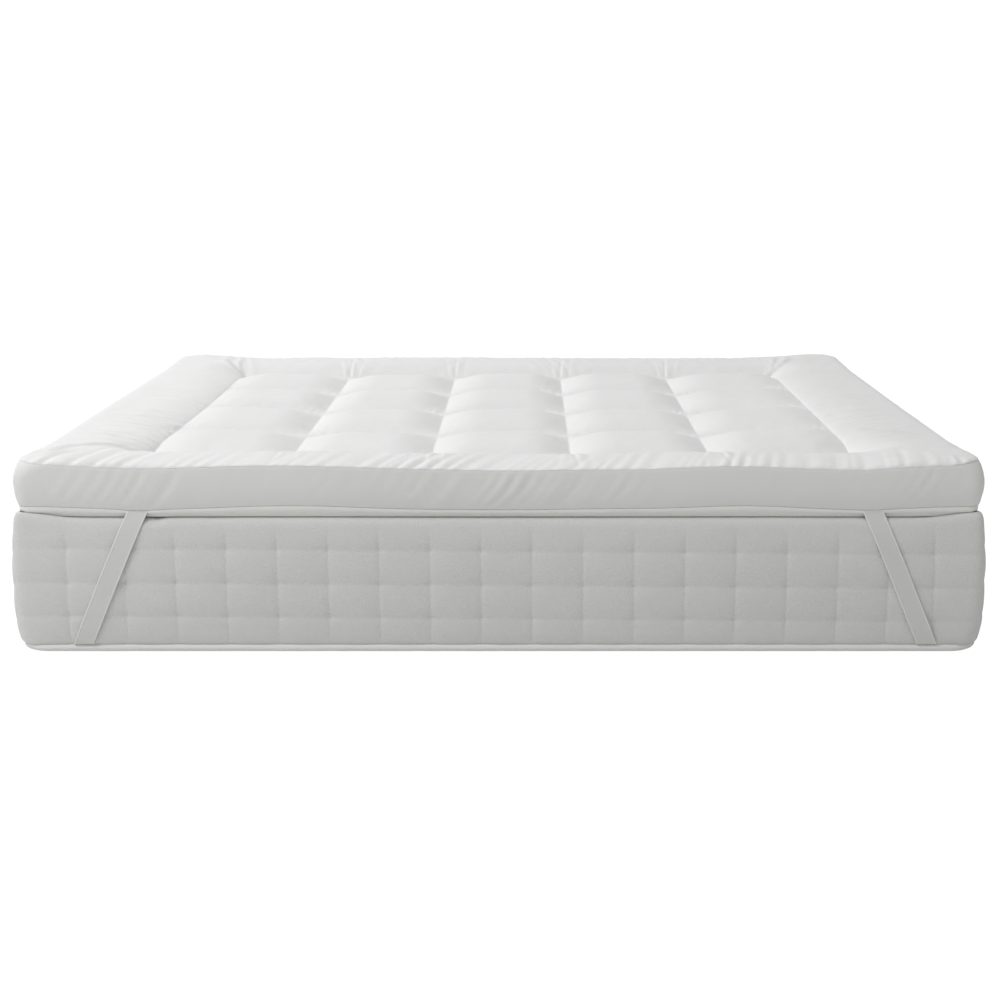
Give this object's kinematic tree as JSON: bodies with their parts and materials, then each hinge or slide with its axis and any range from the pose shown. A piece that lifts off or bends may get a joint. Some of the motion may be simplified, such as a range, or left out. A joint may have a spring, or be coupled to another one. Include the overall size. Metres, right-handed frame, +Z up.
{
  "type": "mattress topper on a mattress",
  "caption": "Thick quilted mattress topper with square pillows inside a wide plain border and a boxed side band, strapped at the corners to a plain mattress with a stitched side.",
  "frame": {"origin": "on the floor, under the middle of the mattress", "axes": "+X along the long sides, +Y across the bed away from the viewer, +Z up"},
  "size_m": [2.0042, 1.6042, 0.4032],
  "materials": {
    "quilted_cotton": "fine plain weave, matt",
    "band_cotton": "fine plain weave, matt",
    "base_cotton": "plain weave, matt",
    "elastic_webbing": "woven elastic, matt",
    "mattress_knit": "soft knitted ticking, matt",
    "piping_tape": "matt tape"
  },
  "bodies": {
    "root": {"topper_pad": "quilted_cotton", "topper_side_band": "band_cotton", "topper_base_panel": "base_cotton", "strap_front_left": "elastic_webbing", "strap_front_right": "elastic_webbing", "strap_back_right": "elastic_webbing", "strap_back_left": "elastic_webbing", "mattress_body": "mattress_knit", "mattress_bottom_piping": "piping_tape"}
  },
  "joints": []
}
